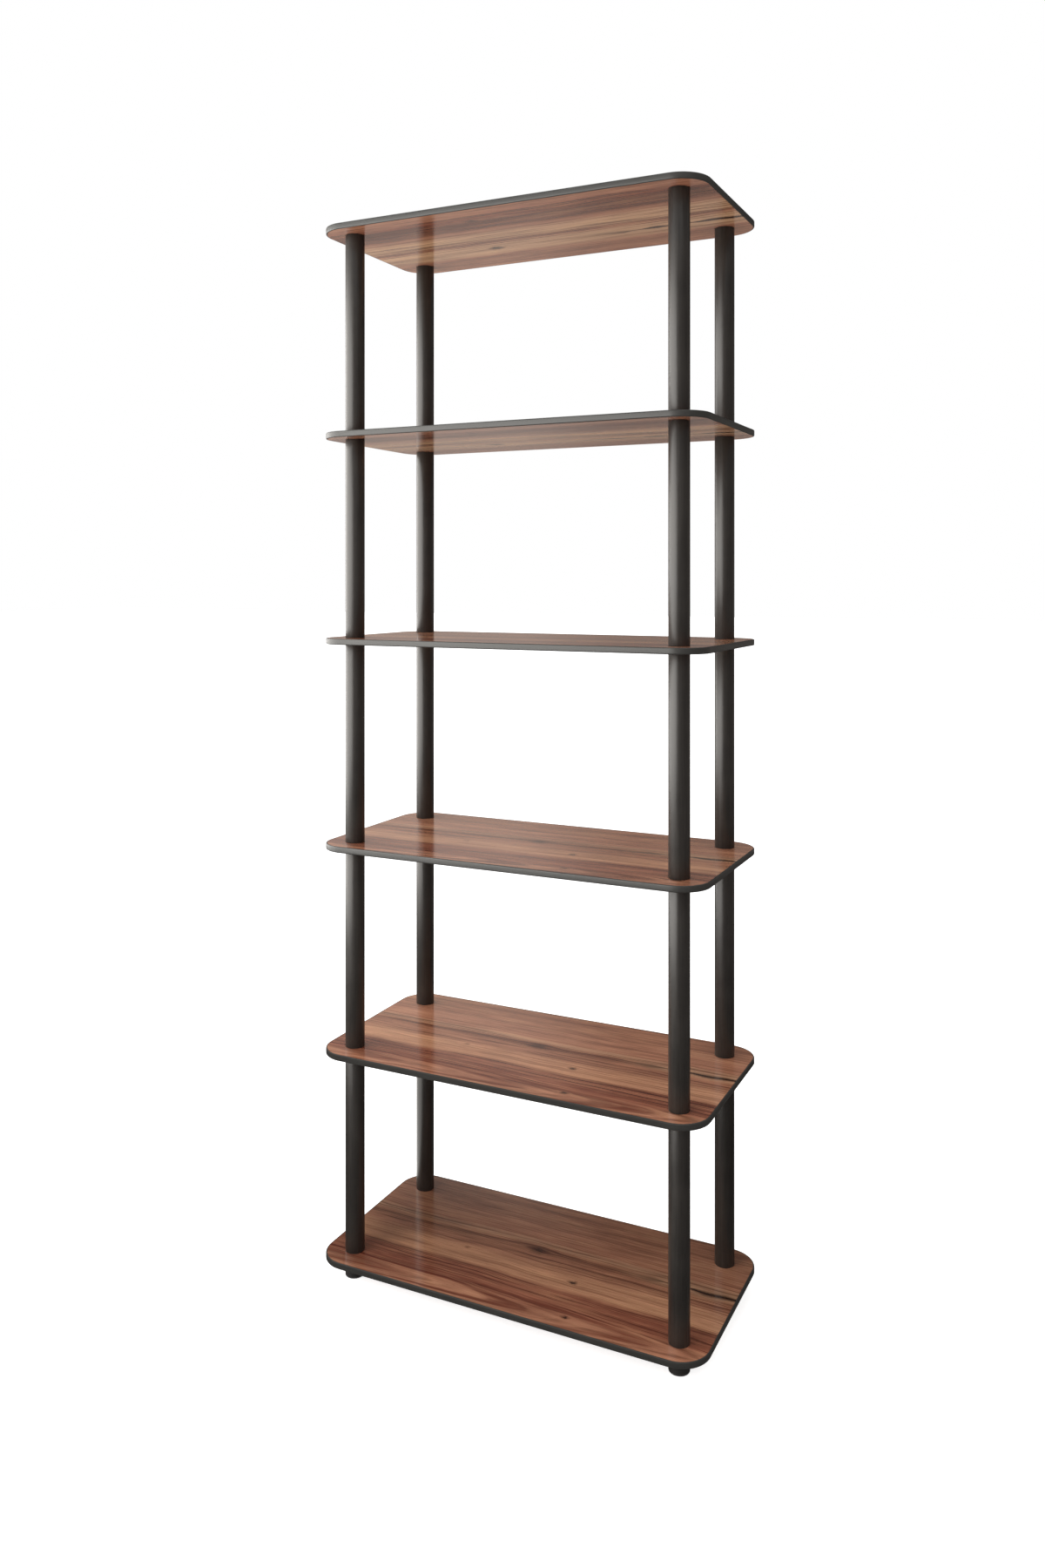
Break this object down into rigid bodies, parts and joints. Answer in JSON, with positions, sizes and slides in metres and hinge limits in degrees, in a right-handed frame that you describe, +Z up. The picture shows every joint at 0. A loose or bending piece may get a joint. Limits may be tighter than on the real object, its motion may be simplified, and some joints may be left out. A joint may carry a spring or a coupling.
{
  "type": "open shelf bookcase",
  "caption": "Tall open bookcase of thin rounded wood-look shelves with dark plastic edging, clamped between stacked round tube posts on short feet.",
  "frame": {"origin": "on the floor, under the middle of the shelves", "axes": "+Z up, +Y to the back, +X to the right along the shelves as seen from the front"},
  "size_m": [0.6, 0.295, 1.5842],
  "materials": {
    "wood_decor": "dark walnut decor under a clear satin-gloss melamine coat",
    "trim_pvc": "satin charcoal",
    "tube_pvc": "satin charcoal, extruded",
    "black_moulding": "fine matt moulding"
  },
  "bodies": {
    "root": {"foot_front_left": "black_moulding", "foot_front_right": "black_moulding", "foot_back_left": "black_moulding", "foot_back_right": "black_moulding", "shelf_board_1": "wood_decor", "shelf_board_2": "wood_decor", "shelf_board_3": "wood_decor", "shelf_board_4": "wood_decor", "shelf_board_5": "wood_decor", "shelf_board_6": "wood_decor", "edge_trim_1": "trim_pvc", "edge_trim_2": "trim_pvc", "edge_trim_3": "trim_pvc", "edge_trim_4": "trim_pvc", "edge_trim_5": "trim_pvc", "edge_trim_6": "trim_pvc", "tube_front_left_1": "tube_pvc", "tube_front_left_2": "tube_pvc", "tube_front_left_3": "tube_pvc", "tube_front_left_4": "tube_pvc", "tube_front_left_5": "tube_pvc", "tube_front_right_1": "tube_pvc", "tube_front_right_2": "tube_pvc", "tube_front_right_3": "tube_pvc", "tube_front_right_4": "tube_pvc", "tube_front_right_5": "tube_pvc", "tube_back_left_1": "tube_pvc", "tube_back_left_2": "tube_pvc", "tube_back_left_3": "tube_pvc", "tube_back_left_4": "tube_pvc", "tube_back_left_5": "tube_pvc", "tube_back_right_1": "tube_pvc", "tube_back_right_2": "tube_pvc", "tube_back_right_3": "tube_pvc", "tube_back_right_4": "tube_pvc", "tube_back_right_5": "tube_pvc", "stud_plug_front_left_1": "black_moulding", "stud_plug_front_left_2": "black_moulding", "stud_plug_front_left_3": "black_moulding", "stud_plug_front_left_4": "black_moulding", "stud_plug_front_left_5": "black_moulding", "stud_plug_front_right_1": "black_moulding", "stud_plug_front_right_2": "black_moulding", "stud_plug_front_right_3": "black_moulding", "stud_plug_front_right_4": "black_moulding", "stud_plug_front_right_5": "black_moulding", "stud_plug_back_left_1": "black_moulding", "stud_plug_back_left_2": "black_moulding", "stud_plug_back_left_3": "black_moulding", "stud_plug_back_left_4": "black_moulding", "stud_plug_back_left_5": "black_moulding", "stud_plug_back_right_1": "black_moulding", "stud_plug_back_right_2": "black_moulding", "stud_plug_back_right_3": "black_moulding", "stud_plug_back_right_4": "black_moulding", "stud_plug_back_right_5": "black_moulding", "cap_front_left": "black_moulding", "cap_front_right": "black_moulding", "cap_back_left": "black_moulding", "cap_back_right": "black_moulding"}
  },
  "joints": []
}
